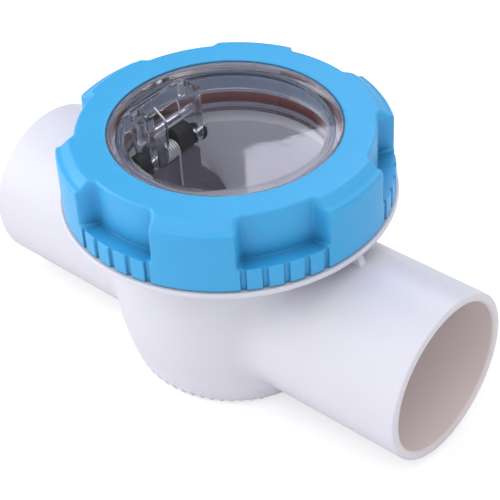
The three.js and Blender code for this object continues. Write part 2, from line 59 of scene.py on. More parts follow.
# Driving dimensions, mm
AXIS_HEIGHT = 33.0  # flow axis above the base
BASE_Z = -AXIS_HEIGHT
PIPE_R = 31.5
PIPE_END = 96
BORE_R = 28.0
NECK_R = 46.8
NECK_TOP = 56.7
RING_R = 59.5
RING_BORE_R = 49.2
RING_TOP = 65.2
COVER_TOP = 64.7
HINGE_X, HINGE_Z = -27.5, 41.7
HINGE = (HINGE_X, 0, HINGE_Z)
PIN_BORE_R = 1.8  # hole in the parts carried on the hinge pin
SCREW_HOLE_R = 2.8
FLAPPER_BACK, FLAPPER_FRONT = -30.4, -27.4  # the disc's faces along X


# ------------------------------------------------------------------ outlines
def rounded(points, closed=True, steps=5):
    """Polyline whose third numbers are corner radii; each such corner becomes an arc."""
    result = []
    count = len(points)
    for i, point in enumerate(points):
        radius = point[2] if len(point) > 2 else 0
        if radius <= 0 or (not closed and i in (0, count - 1)):
            result.append((point[0], point[1]))
            continue
        corner = np.array(point[:2], float)
        back = np.array(points[i - 1][:2], float) - corner
        ahead = np.array(points[(i + 1) % count][:2], float) - corner
        back_length, ahead_length = np.linalg.norm(back), np.linalg.norm(ahead)
        back, ahead = back / back_length, ahead / ahead_length
        angle = math.acos(max(-1, min(1, float(back @ ahead))))
        if abs(angle - PI) < 0.05:
            result.append((point[0], point[1]))
            continue
        # a radius too large for its neighbours is reduced to fit
        setback = min(radius / math.tan(angle / 2), back_length * 0.49, ahead_length * 0.49)
        radius = setback * math.tan(angle / 2)
        middle = (back + ahead) / np.linalg.norm(back + ahead)
        centre = corner + middle * (radius / math.sin(angle / 2))
        start = corner + back * setback - centre
        end = corner + ahead * setback - centre
        first = math.atan2(start[1], start[0])
        sweep_angle = (math.atan2(end[1], end[0]) - first + PI) % TAU - PI
        result += arc(centre[0], centre[1], radius, first, first + sweep_angle, steps)
    return result


def arc(x, y, radius, start, end, steps):
    """Points on an arc, both ends included."""
    turns = [start + (end - start) * k / steps for k in range(steps + 1)]
    return [(x + radius * math.cos(turn), y + radius * math.sin(turn)) for turn in turns]


def spaced(start, end, steps):
    """Evenly spaced points on a straight line, without its end."""
    x, y = start
    return [(x + (end[0] - x) * k / steps, y + (end[1] - y) * k / steps) for k in range(steps)]


def smooth_line(points, steps):
    """Catmull-Rom curve through the points."""
    knots = [np.array(point, float) for point in points]
    result = []
    for i in range(len(knots) - 1):
        before = knots[max(i - 1, 0)]
        start, end = knots[i], knots[i + 1]
        after = knots[min(i + 2, len(knots) - 1)]
        for k in range(steps):
            t = k / steps
            linear = (end - before) * t
            square = (2 * before - 5 * start + 4 * end - after) * t * t
            cubic = (3 * start - before - 3 * end + after) * t**3
            result.append(tuple(0.5 * (2 * start + linear + square + cubic)))
    result.append(tuple(knots[-1]))
    return result


def tube(inner, outer, start, end, corner):
    """Rectangular section of a ring, its corners rounded."""
    return [(inner, start, corner), (outer, start, corner), (outer, end, corner), (inner, end, corner)]


def mirrored(profile, sign):
    return [(point[0], sign * point[1], *point[2:]) for point in profile]


# ------------------------------------------------------------------ meshes
def link(obj):
    bpy.context.scene.collection.objects.link(obj)
    return obj


def make(name, verts, faces):
    points = (np.array(verts, float).reshape(-1, 3) + [0, 0, AXIS_HEIGHT]) / 1000.0
    mesh = bpy.data.meshes.new(name)
    mesh.from_pydata(points.tolist(), [], [tuple(face) for face in faces])
    mesh.update()
    work = bmesh.new()
    work.from_mesh(mesh)
    bmesh.ops.remove_doubles(work, verts=work.verts, dist=1e-7)
    bmesh.ops.recalc_face_normals(work, faces=work.faces)
    work.to_mesh(mesh)
    work.free()
    return link(bpy.data.objects.new(name, mesh))


def loft_faces(rows, size, closed):
    """Quads joining successive loops of vertices, and the last to the first if closed."""
    faces = []
    for k in range(rows if closed else rows - 1):
        this, following = k * size, (k + 1) % rows * size
        for i in range(size):
            j = (i + 1) % size
            faces.append((this + i, this + j, following + j, following + i))
    return faces


def prism_faces(size):
    caps = [tuple(range(size)), tuple(range(2 * size - 1, size - 1, -1))]
    return caps + loft_faces(2, size, closed=False)


def on_axis(axis, radius, along, turn, centre):
    across, over = radius * math.cos(turn), radius * math.sin(turn)
    x, y, z = centre
    if axis == "Z":
        return (x + across, y + over, z + along)
    if axis == "X":
        return (x + along, y + across, z + over)
    return (x + over, y + along, z + across)


def revolve(name, profile, segments, axis="Z", centre=(0, 0, 0)):
    """Turn (radius, along) points round an axis. A profile that starts on the axis is open."""
    closed = profile[0][0] > 1e-6
    verts, faces, rows = [], [], []
    for radius, along in profile:
        if radius < 1e-6:
            rows.append([len(verts)] * segments)
            verts.append(on_axis(axis, 0, along, 0, centre))
        else:
            rows.append(list(range(len(verts), len(verts) + segments)))
            verts += [
                on_axis(axis, radius, along, TAU * i / segments, centre) for i in range(segments)
            ]
    count = len(rows)
    for k in range(count if closed else count - 1):
        this, following = rows[k], rows[(k + 1) % count]
        for i in range(segments):
            j = (i + 1) % segments
            face = list(dict.fromkeys((this[i], this[j], following[j], following[i])))
            if len(face) > 2:
                faces.append(face)
    return make(name, verts, faces)


def rod(name, radius, start, end, segments, axis, centre=(0, 0, 0), corner=0):
    """Solid cylinder along an axis."""
    profile = [(0, start), (radius, start, corner), (radius, end, corner), (0, end)]
    return revolve(name, rounded(profile, closed=False), segments, axis, centre)


def prism(name, outline, axis, start, end, bevel=0.0):
    """Flat outline pushed along an axis. Points are (y, z) for X, (x, z) for Y, (x, y) for Z."""
    verts = []
    for along in (start, end):
        for first, second in outline:
            if axis == "X":
                verts.append((along, first, second))
            elif axis == "Y":
                verts.append((first, along, second))
            else:
                verts.append((first, second, along))
    obj = make(name, verts, prism_faces(len(outline)))
    if bevel > 0:
        work = bmesh.new()
        work.from_mesh(obj.data)
        edges = [edge for edge in work.edges if edge.calc_face_angle(0) > 0.5]
        bmesh.ops.bevel(
            work, geom=edges, offset=bevel / 1000, segments=3, affect="EDGES", profile=0.5
        )
        bmesh.ops.recalc_face_normals(work, faces=work.faces)
        work.to_mesh(obj.data)
        work.free()
    return obj


def box(name, x, y, z, bevel=0.0):
    """Box between the two limits given for each axis."""
    outline = [(x[0], y[0]), (x[1], y[0]), (x[1], y[1]), (x[0], y[1])]
    return prism(name, outline, "Z", z[0], z[1], bevel)


def sweep(name, centres, frames, outlines):
    """One outline per station, laid out on the station's pair of directions."""
    verts = []
    rows, size = len(centres), len(outlines[0])
    for centre, (side, rise), outline in zip(centres, frames, outlines):
        for x, y in outline:
            verts.append(tuple(np.array(centre) + np.array(side) * x + np.array(rise) * y))
    faces = loft_faces(rows, size, closed=False)
    faces.append(tuple(range(size - 1, -1, -1)))
    faces.append(tuple((rows - 1) * size + i for i in range(size)))
    return make(name, verts, faces)


def combine(target, tool, operation):
    """Apply a boolean to target and remove the tool object."""
    modifier = target.modifiers.new("b", "BOOLEAN")
    modifier.operation = operation
    modifier.solver = "MANIFOLD"
    modifier.object = tool
    bpy.context.view_layer.update()
    graph = bpy.context.evaluated_depsgraph_get()
    mesh = bpy.data.meshes.new_from_object(target.evaluated_get(graph))
    target.modifiers.clear()
    old = target.data
    target.data = mesh
    bpy.data.meshes.remove(old)
    if len(mesh.polygons) == 0:
        raise RuntimeError(f"boolean left {target.name} empty")
    bpy.data.objects.remove(tool)


def union(target, tool):
    combine(target, tool, "UNION")


def cut(target, tool):
    combine(target, tool, "DIFFERENCE")


def shade(obj, angle, weighted=True):
    """Smooth shading, sharp above an angle in degrees."""
    obj.data.shade_smooth()
    obj.data.set_sharp_from_angle(angle=math.radians(angle))
    if weighted:
        modifier = obj.modifiers.new("normals", "WEIGHTED_NORMAL")
        modifier.keep_sharp = True
        modifier.weight = 90
    return obj


def turned(name, profile, axis="Z", centre=(0, 0, 0), segments=96, closed=True):
    """Small lathe-turned part."""
    obj = revolve(name, rounded(profile, closed, steps=4), segments, axis, centre)
    return shade(obj, angle=34, weighted=False)


def install(obj, part, look, rides=None):
    """Put a finished object in place of a CAD part and give it its material."""
    if rides:
        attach(obj, rides)
    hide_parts(part)
    obj.data.materials.clear()
    obj.data.materials.append(look)


# ------------------------------------------------------------------ screw thread
THREAD_PITCH = 5.0
THREAD_STEPS = 96  # stations per turn
THREAD_HALF_ROOT, THREAD_HALF_CREST = 1.3, 0.8
THREAD_FADE = 0.09  # turns over which each end runs out


def helix(name, root, crest, z0, turns):
    """Thread ridge from the root radius to the crest radius, outward or inward."""
    count = int(THREAD_STEPS * turns)
    bury = -0.5 if crest > root else 0.5
    centres, frames, outlines = [], [], []
    for k in range(count + 1):
        t = k / count
        angle = t * turns * TAU
        cosine, sine = math.cos(angle), math.sin(angle)
        fade = min(1.0, t * turns / THREAD_FADE, (1 - t) * turns / THREAD_FADE)
        depth = (crest - root) * max(0.03, math.sin(fade * PI / 2))
        centres.append((root * cosine, root * sine, z0 + THREAD_PITCH * turns * t))
        frames.append(((cosine, sine, 0), (0, 0, 1)))
        lower = [
            (bury, -THREAD_HALF_ROOT),
            (0, -THREAD_HALF_ROOT),
            (depth * 0.9, -THREAD_HALF_CREST - 0.12),
            (depth, -THREAD_HALF_CREST + 0.1),
        ]
        outlines.append(lower + mirrored(lower[::-1], -1))
    return sweep(name, centres, frames, outlines)


# ------------------------------------------------------------------ node helper
class Nodes:
    """Shorthand for a node tree. Inputs take a plain value or another node's output."""

    def __init__(self, tree):
        self.tree = tree

    def feed(self, node, key, value):
        if isinstance(value, bpy.types.NodeSocket):
            self.tree.links.new(value, node.inputs[key])
        else:
            node.inputs[key].default_value = value

    def add(self, kind, inputs=None, **settings):
        node = self.tree.nodes.new("ShaderNode" + kind)
        for key, value in settings.items():
            setattr(node, key, value)
        for key, value in (inputs or {}).items():
            self.feed(node, key, value)
        return node

    def coordinates(self, kind="Object"):
        return self.add("TexCoord").outputs[kind]

    def split(self, vector):
        return self.add("SeparateXYZ", {"Vector": vector}).outputs

    def math(self, operation, *values):
        return self.add("Math", dict(enumerate(values)), operation=operation).outputs["Value"]

    def product(self, first, *others):
        for other in others:
            first = self.math("MULTIPLY", first, other)
        return first

    def vector_math(self, operation, *values):
        node = self.add("VectorMath", dict(enumerate(values)), operation=operation)
        return node.outputs["Value" if operation in ("LENGTH", "DOT_PRODUCT") else "Vector"]

    def distance(self, place, across, origin=None):
        """Distance from an axis through origin; across is 0 along that axis and 1 elsewhere."""
        if origin:
            place = self.vector_math("SUBTRACT", place, origin)
        return self.vector_math("LENGTH", self.vector_math("MULTIPLY", place, across))

    def remap(self, value, source=(0.0, 1.0), target=(0.0, 1.0), **settings):
        inputs = {
            "Value": value,
            "From Min": source[0],
            "From Max": source[1],
            "To Min": target[0],
            "To Max": target[1],
        }
        return self.add("MapRange", inputs, **settings).outputs["Result"]

    def noise(self, place, scale, detail, roughness=0.5):
        inputs = {"Vector": place, "Scale": scale, "Detail": detail, "Roughness": roughness}
        return self.add("TexNoise", inputs).outputs["Fac"]

    def bump(self, height, strength, distance):
        inputs = {"Height": height, "Strength": strength, "Distance": distance}
        return self.add("Bump", inputs)

    def mix_color(self, factor, first, second, blend="MIX"):
        inputs = {0: factor, 6: first, 7: second}  # 6 and 7 are the colour inputs
        return self.add("Mix", inputs, data_type="RGBA", blend_type=blend).outputs[2]

    def mix_shader(self, factor, first, second):
        return self.add("MixShader", {0: factor, 1: first, 2: second}).outputs[0]


def new_material(name):
    material = bpy.data.materials.new(name)
    material.use_nodes = True
    material.node_tree.nodes.clear()
    return material, Nodes(material.node_tree)


# ------------------------------------------------------------------ materials
FLOW_ORIGIN = (0, 0, AXIS_HEIGHT / 1000)
ROUND_X = (0, 1, 1)
ROUND_Z = (1, 1, 0)


def darker_top(nodes, place, tone, heights, color):
    """Second colour fading in above a height, weaker on the -Y side."""
    position = nodes.split(place)
    high = nodes.remap(position["Z"], source=heights)
    side = nodes.remap(position["Y"], source=(-0.004, 0.0), target=(0.35, 1.0))
    return nodes.mix_color(nodes.product(high, side), tone, (*color, 1))


def port_warm_tint(nodes, place, tone):
    """Warm tint inside the pipe ends."""
    position = nodes.split(place)
    inside = nodes.remap(nodes.distance(place, ROUND_X, FLOW_ORIGIN), source=(0.0300, 0.0284))
    along = nodes.remap(nodes.math("ABSOLUTE", position["X"]), source=(0.046, 0.060))
    return nodes.mix_color(nodes.product(inside, along), tone, (1.0, 0.90, 0.80, 1), "MULTIPLY")


def painted_neck_blue_light(nodes, place, tone):
    """Painted blue light on the inner wall of the neck, as if lit through the blue lock ring."""
    position = nodes.split(place)
    inside = nodes.remap(nodes.distance(place, ROUND_Z, FLOW_ORIGIN), source=(0.0456, 0.0448))
    along = nodes.remap(position["Z"], source=(0.078, 0.086))
    return nodes.mix_color(nodes.product(inside, along), tone, (0.70, 0.86, 1.04, 1), "MULTIPLY")


def painted_recess_shade(nodes, place, tone, reach, darkest, outside_only):
    """Painted shade darkening the recesses, from ambient occlusion."""
    openness = nodes.add("AmbientOcclusion", {"Distance": reach}, samples=6).outputs["AO"]
    painted_shade = nodes.remap(openness, source=(0.25, 0.92), target=(darkest, 1.0))
    if outside_only:
        off_chamber = nodes.remap(nodes.distance(place, ROUND_Z), source=(0.0420, 0.0446))
        pipe_distance = nodes.distance(place, ROUND_X, FLOW_ORIGIN)
        off_bore = nodes.math("GREATER_THAN", pipe_distance, 0.0301)
        outside = nodes.product(off_chamber, off_bore)
        painted_shade = nodes.add("Mix", {0: outside, 2: 1.0, 3: painted_shade}, data_type="FLOAT").outputs[0]
    return nodes.mix_color(1.0, tone, painted_shade, "MULTIPLY")


def moulded(
    name,
    color,
    rough,
    vary,
    edge_wear_and_sheen,
    edge_from=0.52,
    grain_depth=0.00002,
    specular=0.5,
    subsurface=None,
    top=None,
    colour_shifts=(),
    painted_shade=None,
):
    """Moulded plastic or rubber: slow colour drift, uneven gloss, fine grain, paler edges, optional
    painted shade in recesses.

    vary: strength of the colour drift; edge_wear_and_sheen, edge_from: strength of the paler edges
    (wear, and on the lock ring also painted highlights) and the pointiness where they begin;
    subsurface: (weight, scale); top, painted_shade: arguments of darker_top and painted_recess_shade,
    the painted shade in recesses; colour_shifts: tint functions, among them painted blue light.
    """
    material, nodes = new_material(name)
    place = nodes.coordinates()
    slow = nodes.noise(place, scale=38.0, detail=3.0, roughness=0.55)
    fine = nodes.noise(place, scale=900.0, detail=2.0, roughness=0.6)
    medium = nodes.noise(place, scale=190.0, detail=4.0, roughness=0.6)

    drift = nodes.remap(slow, source=(0.3, 0.7), target=(1 - vary, 1 + vary))
    tone = nodes.mix_color(1.0, (*color, 1), drift, "MULTIPLY")
    if top:
        tone = darker_top(nodes, place, tone, **top)
    # paler edges: wear, and on the lock ring also painted edge highlights
    pointiness = nodes.add("NewGeometry").outputs["Pointiness"]
    edge = nodes.remap(pointiness, source=(edge_from, edge_from + 0.08), target=(0.0, edge_wear_and_sheen))
    pale_edge_color = tuple(min(1.0, channel * 1.35 + 0.05) for channel in color)
    tone = nodes.mix_color(nodes.product(edge, medium), tone, (*pale_edge_color, 1))
    # colour shifts: a warm tint in the pipe ends and painted blue light in the neck
    for colour_shift in colour_shifts:
        tone = colour_shift(nodes, place, tone)
    # painted shade darkening the recesses
    if painted_shade:
        tone = painted_recess_shade(nodes, place, tone, **painted_shade)

    gloss_range = (max(0.02, rough - 0.05), rough + 0.06)
    grain = nodes.bump(fine, strength=0.35, distance=grain_depth)
    sinks = nodes.bump(slow, strength=0.25, distance=0.0004)
    nodes.feed(sinks, "Normal", grain.outputs["Normal"])
    inputs = {
        "Base Color": tone,
        "Roughness": nodes.remap(medium, source=(0.3, 0.7), target=gloss_range),
        "Normal": sinks.outputs["Normal"],
        "Specular IOR Level": specular,
        "Coat Roughness": 0.12,
    }
    if subsurface:
        inputs["Subsurface Weight"], inputs["Subsurface Scale"] = subsurface
        inputs["Subsurface Radius"] = (1.0, 0.9, 0.8)
    plastic = nodes.add("BsdfPrincipled", inputs)
    nodes.add("OutputMaterial", {"Surface": plastic.outputs["BSDF"]})
    return material


def steel(name, color, rough, shaded_band=None):
    """Finely grained metal, optionally darkened by painted shade between two heights given last."""
    material, nodes = new_material(name)
    place = nodes.coordinates()
    tone = (*color, 1)
    if shaded_band:
        low, high = shaded_band
        position = nodes.split(place)
        above = nodes.remap(position["Z"], source=(low, low + 0.0015))
        below = nodes.remap(position["Z"], source=(high + 0.001, high))
        # painted shade darkens the band between the two heights
        painted_shade_tone = (*(channel * 0.22 for channel in color), 1)
        tone = nodes.mix_color(nodes.product(above, below), tone, painted_shade_tone)
    mapped = nodes.add("Mapping", {"Vector": place}).outputs["Vector"]
    grain = nodes.noise(mapped, scale=1400.0, detail=3.0)
    inputs = {
        "Metallic": 1.0,
        "Base Color": tone,
        "Roughness": nodes.remap(grain, target=(max(0.03, rough - 0.08), rough + 0.1)),
        "Normal": nodes.bump(grain, strength=0.2, distance=0.00002).outputs["Normal"],
    }
    metal = nodes.add("BsdfPrincipled", inputs)
    nodes.add("OutputMaterial", {"Surface": metal.outputs["BSDF"]})
    return material


# Share of milky diffuse in the clear plastic: bracket faces (haze), bracket edges (painted
# highlights), window rim (haze)
FACE_HAZE, EDGE_HIGHLIGHT, RIM_HAZE = 0.04, 0.8, 0.14


def cover_haze_and_highlights(nodes, place):
    """Milky share over the clear cover: haze, with painted highlights on the bracket's edges and along
    its rear wall's top.
    """
    position = nodes.split(place)
    radius = nodes.distance(place, ROUND_Z)
    # the bracket: everything moulded under the window on the -X side
    below_window = nodes.math("LESS_THAN", position["Z"], 0.09505)
    toward_hinge = nodes.math("LESS_THAN", position["X"], -0.0236)
    within_skirt = nodes.math("LESS_THAN", radius, 0.0383)
    bracket = nodes.product(below_window, toward_hinge, within_skirt)
    # painted highlights on the bracket's edges, where a bevelled normal leaves the true one
    bevel = nodes.add("Bevel", {"Radius": 0.00035}, samples=4).outputs["Normal"]
    true_normal = nodes.add("NewGeometry").outputs["Normal"]
    agreement = nodes.vector_math("DOT_PRODUCT", bevel, true_normal)
    edges = nodes.remap(agreement, source=(0.995, 0.88), target=(FACE_HAZE, EDGE_HIGHLIGHT))
    # painted highlight line along the rear wall's top, where it meets the window
    line = nodes.product(
        nodes.math("GREATER_THAN", position["X"], -0.0346),
        nodes.math("LESS_THAN", position["X"], -0.0341),
        nodes.math("GREATER_THAN", position["Z"], 0.0943),
        0.95,
    )
    bracket_haze_and_highlights = nodes.product(nodes.math("MAXIMUM", edges, line), bracket)
    rim = nodes.remap(radius, source=(0.0380, 0.0392), target=(0.0, RIM_HAZE))
    rim_haze = nodes.product(rim, nodes.math("GREATER_THAN", position["Z"], 0.0898))
    return nodes.math("MAXIMUM", bracket_haze_and_highlights, rim_haze)


def clear(name):
    """Clear plastic that lets shadow and diffuse rays straight through."""
    material, nodes = new_material(name)
    place = nodes.coordinates()
    ripple = nodes.noise(place, scale=60.0, detail=3.0)
    inputs = {
        "Base Color": (0.95, 0.963, 0.985, 1),
        "Transmission Weight": 1.0,
        "IOR": 1.5,
        "Roughness": nodes.remap(ripple, source=(0.35, 0.7), target=(0.0, 0.035)),
        "Normal": nodes.bump(ripple, strength=0.12, distance=0.0002).outputs["Normal"],
    }
    glass = nodes.add("BsdfPrincipled", inputs).outputs["BSDF"]
    haze_and_highlight_diffuse = nodes.add("BsdfDiffuse", {"Color": (0.76, 0.80, 0.98, 1)}).outputs["BSDF"]
    # the milky diffuse gives haze and the painted highlights on the bracket
    visible = nodes.mix_shader(cover_haze_and_highlights(nodes, place), glass, haze_and_highlight_diffuse)
    passing = nodes.add("BsdfTransparent", {"Color": (0.9, 0.905, 0.915, 1)}).outputs["BSDF"]
    rays = nodes.add("LightPath").outputs
    let_through = nodes.math("MAXIMUM", rays["Is Shadow Ray"], rays["Is Diffuse Ray"])
    surface = nodes.mix_shader(let_through, visible, passing)
    nodes.add("OutputMaterial", {"Surface": surface})
    return material


NEAR_BLACK = (0.013, 0.013, 0.018)

WHITE = moulded(
    "white_plastic_look",
    color=(0.83, 0.817, 0.895),
    rough=0.34,
    vary=0.012,
    edge_wear_and_sheen=0.25,
    grain_depth=0.000015,
    subsurface=(0.12, 0.0025),
    # a warm tint in the pipe ends, and painted blue light on the neck's inner wall
    colour_shifts=(port_warm_tint, painted_neck_blue_light),
    # painted shade in the outer recesses
    painted_shade=dict(reach=0.03, darkest=0.77, outside_only=True),
)
BLUE = moulded(
    "blue_plastic_look",
    color=(0.058, 0.47, 0.89),
    rough=0.36,
    vary=0.02,
    # the paler edges also stand in for painted edge highlights
    edge_wear_and_sheen=0.3,
    edge_from=0.57,
    subsurface=(0.06, 0.0015),
    # painted shade in the pockets and grip slots
    painted_shade=dict(reach=0.012, darkest=0.32, outside_only=False),
)
RED = moulded(
    "red_rubber_look",
    color=(0.26, 0.055, 0.046),
    rough=0.55,
    vary=0.08,
    edge_wear_and_sheen=0.1,
    grain_depth=0.00003,
)
GREY = moulded(
    "grey_plastic_look",
    color=(0.205, 0.196, 0.232),
    rough=0.42,
    vary=0.06,
    edge_wear_and_sheen=0.2,
    grain_depth=0.00003,
    specular=0.3,
    top=dict(heights=(0.0685, 0.0715), color=NEAR_BLACK),
)
BLACK = moulded(
    "black_plastic_look", color=NEAR_BLACK, rough=0.38, vary=0.06, edge_wear_and_sheen=0.15, specular=0.3
)
SEAL = moulded(
    "black_rubber_look",
    color=(0.012, 0.012, 0.013),
    rough=0.7,
    vary=0.1,
    edge_wear_and_sheen=0.1,
    grain_depth=0.00004,
)
SLIP = moulded("slip_plastic_look", color=(0.78, 0.78, 0.77), rough=0.4, vary=0.02, edge_wear_and_sheen=0.2)
STEEL = steel("stainless_look", color=(0.66, 0.665, 0.68), rough=0.22)
# spring wire, with painted shade along its upright leg between the two heights
WIRE = steel("spring_wire_look", color=(0.90, 0.905, 0.92), rough=0.34, shaded_band=(0.0795, 0.0893))
CLEAR = clear("clear_plastic_look")


# ------------------------------------------------------------------ valve body
# Outside of the bowl: radius, height
BOWL = [
    (36.6, -32.6), (37.7, -32.0), (39.1, -30.2), (40.4, -27.2), (41.7, -23),
    (42.8, -18), (43.7, -12), (44.5, -5), (45.1, 2), (45.4, 9),
    (45.1, 18), (44.6, 27), (44.3, 35.4),
]
# Flange and neck above the bowl: radius, height, corner radius
NECK = [
    (46.5, 36.8), (60.5, 36.8, 0.8), (60.5, 38.9, 0.5),
    (NECK_R, 38.9, 0.4), (NECK_R, NECK_TOP, 0.6), (30, NECK_TOP),
]
# Inside of the bowl: radius, height
CHAMBER = [
    (33.2, -29.1), (34.6, -28.4), (35.8, -27.1), (36.8, -25), (37.8, -22),
    (38.9, -18), (39.8, -12), (40.6, -5), (41.2, 2), (41.5, 9),
    (41.3, 18), (41.2, 28), (41.2, 36.4),
]
# Inside of the neck: radius, height, corner radius
NECK_BORE = [
    (41.2, 37.2, 0.6), (44.0, 39.8, 0.6), (44.0, 55.9, 0.3), (44.9, 57.0), (44.9, 60), (20, 60),
]
# Half of the bore through the pipes, chamfered at its end: radius, x, corner radius
BORE_HALF = [(BORE_R, 95.4, 0.8), (30.0, 97.4)]
# Valve seat in the -X pipe: radius, x, corner radius
SEAT = [
    (28.1, -44), (30.0, -44), (30.0, -33.0, 0.6),
    (25.5, -33.0, 0.5), (25.5, -36.0, 0.6), (28.1, -39.0, 0.6),
]
# Crest of a rib on the lower edge of the bowl: radius, height
RIB_LINE = [(36.0, -32.95), (37.2, -32.5), (38.3, -31.6), (39.3, -30.2), (40.2, -28.0)]
RIB_COUNT = 64
RIB_HALF_WIDTH = 0.5
RIB_LIFT = 0.24

FILLET_MIN, FILLET_EXTRA = 1.0, 12.5  # fillet radius above and below, and what the sides add
FILLET_STATIONS = 120
FILLET_STEPS = 10


def junction(side):
    """Moulded fillet where a pipe leaves the bowl: wide at the sides, small above and below."""
    bowl_heights = np.array([point[1] for point in BOWL])
    bowl_radii = np.array([point[0] for point in BOWL])

    def bowl_radius(height):
        return float(np.interp(height, bowl_heights, bowl_radii))

    verts = []
    for k in range(FILLET_STATIONS):
        turn = TAU * k / FILLET_STATIONS
        sine, cosine = math.sin(turn), math.cos(turn)
        radius = FILLET_MIN + FILLET_EXTRA * abs(sine) ** 2.0
        y, z = (PIPE_R + radius) * sine, (PIPE_R + radius) * cosine
        # find the height where a ball of this radius touches the bowl
        touch = z
        for _ in range(12):
            slope = (bowl_radius(touch + 0.4) - bowl_radius(touch - 0.4)) / 0.8
            length = math.hypot(1, slope)
            normal_r, normal_z = 1 / length, -slope / length
            touch += 0.5 * (z - radius * normal_z - touch)
        reach = bowl_radius(touch) + radius * normal_r
        x = math.sqrt(max(reach * reach - y * y, 1.0))
        centre = np.array([x, y, z])
        to_pipe = np.array([0.0, -sine, -cosine])
        to_bowl = np.array([-normal_r * x / reach, -normal_r * y / reach, -normal_z])
        angle = math.acos(max(-1.0, min(1.0, float(to_pipe @ to_bowl))))
        for i in range(FILLET_STEPS + 1):
            t = i / FILLET_STEPS
            pipe_share, bowl_share = math.sin((1 - t) * angle), math.sin(t * angle)
            toward = (to_pipe * pipe_share + to_bowl * bowl_share) / math.sin(angle)
            verts.append(centre + toward * (radius + 0.025))
        # the section closes at a point buried in the wall
        middle = (to_pipe + to_bowl) / np.linalg.norm(to_pipe + to_bowl)
        verts.append(centre + middle * (radius / math.cos(angle / 2) + 1.1))
    verts = [(side * x, y, max(z, BASE_Z)) for x, y, z in verts]
    return make("junction", verts, loft_faces(FILLET_STATIONS, FILLET_STEPS + 2, closed=True))


def web(side):
    """Small upright web between the flange and the pipe."""
    outline = [(42, 28), (60, 28), (60, 31.9), (59.4, 33.2), (57.6, 37.2), (42, 37.2)]
    outline = [(side * x, z) for x, z in outline]
    return prism("web", outline if side < 0 else outline[::-1], "Y", -1.5, 1.5, bevel=0.3)


def rib(turn):
    """Short meridional rib at the given angle round the bowl."""
    outer, inner = [], []
    for i, (radius, z) in enumerate(RIB_LINE):
        out_r, out_z = (radius - 34.0) / 8.0, (z + 27.5) / 8.0
        length = math.hypot(out_r, out_z)
        lift = RIB_LIFT * math.sin(PI * (i + 0.4) / len(RIB_LINE))
        outer.append((radius + out_r / length * lift, max(z + out_z / length * lift, BASE_Z)))
        inner.append((radius - 1.2, z + 1.2))
    outline = outer + inner[::-1]
    cosine, sine = math.cos(turn), math.sin(turn)
    verts = [
        (radius * cosine - across * sine, radius * sine + across * cosine, z)
        for across in (-RIB_HALF_WIDTH, RIB_HALF_WIDTH)
        for radius, z in outline
    ]
    return make("rib", verts, prism_faces(len(outline)))


def build_body():
    shell = [(0, BASE_Z), (35.2, BASE_Z), (35.9, -32.9)]
    shell += smooth_line(BOWL, steps=4)
    shell += [(44.4, 36.0), (44.9, 36.6), (46.0, 36.8)]
    shell += rounded(NECK, closed=False)
    shell += [(0, NECK_TOP)]
    body = revolve("body_shell", shell, 224)
    union(body, rod("pipes", PIPE_R, -PIPE_END, PIPE_END, 192, "X", corner=0.7))
    for side in (-1, 1):
        union(body, junction(side))
        union(body, web(side))
    for k in range(RIB_COUNT):
        turn = TAU * (k + 0.5) / RIB_COUNT
        # none where the pipes leave the bowl
        if abs(math.sin(turn)) >= 0.55:
            union(body, rib(turn))
    union(body, helix("male", root=NECK_R, crest=48.3, z0=41.2, turns=2.25))

    chamber = [(0, -29.2), (32.4, -29.2)]
    chamber += smooth_line(CHAMBER, steps=3)
    chamber += rounded(NECK_BORE, closed=False)
    chamber += [(0, 60)]
    cut(body, revolve("chamber", chamber, 192))
    bore = [(0, -98), (30.4, -98)]
    bore += rounded(mirrored(BORE_HALF[::-1], -1) + BORE_HALF, closed=False)
    bore += [(30.4, 98), (0, 98)]
    cut(body, revolve("bores", bore, 192, "X"))
    cut(body, box("keyway", x=(-45.5, -40), y=(-3.1, 3.1), z=(53.4, 59)))
    union(body, revolve("seat", rounded(SEAT), 128, "X"))
    # room for the flapper in front of the seat
    cut(body, rod("pocket", 29.1, -33.0, -22, 128, "X"))
    body.name = "body_moulding"
    shade(body, angle=28)
    install(body, "valve_body", WHITE, rides="body")


# ------------------------------------------------------------------ lock ring
# The outside alternates between full-radius pads and six pockets cut back above a ledge.
# Both sections have the same number of points, so that one can be blended into the other.
QUARTER = PI / 2
RING_TOP_INNER = (42.2, RING_TOP)
RING_FOOT = spaced((59.5, 46.9), (59.5, 40.0), 8) + arc(59.0, 39.7, 0.5, 0, -QUARTER, 4)
PAD = np.array(
    spaced(RING_TOP_INNER, (53.0, RING_TOP), 10)
    + arc(53.4, 63.2, 2.0, QUARTER, PI / 4.1, 6)
    + spaced((55.1, 64.4), (58.0, 61.9), 6)
    + arc(57.1, 60.4, 2.35, PI / 4.1, 0, 6)
    + spaced((59.48, 60.0), (59.5, 49.6), 10)
    + spaced((59.5, 49.5), (59.5, 48.9), 6)
    + spaced((59.5, 48.85), (59.5, 47.3), 10)
    + RING_FOOT
)
POCKET = np.array(
    spaced(RING_TOP_INNER, (51.4, RING_TOP), 10)
    + arc(51.5, 64.0, 1.2, QUARTER, 0, 6)
    + spaced((52.72, 63.8), (52.75, 61.2), 6)
    + spaced((52.76, 60.9), (52.78, 58.8), 7)
    + spaced((52.8, 58.4), (52.9, 48.1), 10)
    + arc(53.1, 47.9, 0.18, PI, PI + QUARTER, 5)
    + spaced((53.6, 47.7), (58.4, 47.7), 5)
    + arc(58.8, 47.0, 0.7, QUARTER, 0, 4)
    + RING_FOOT
)
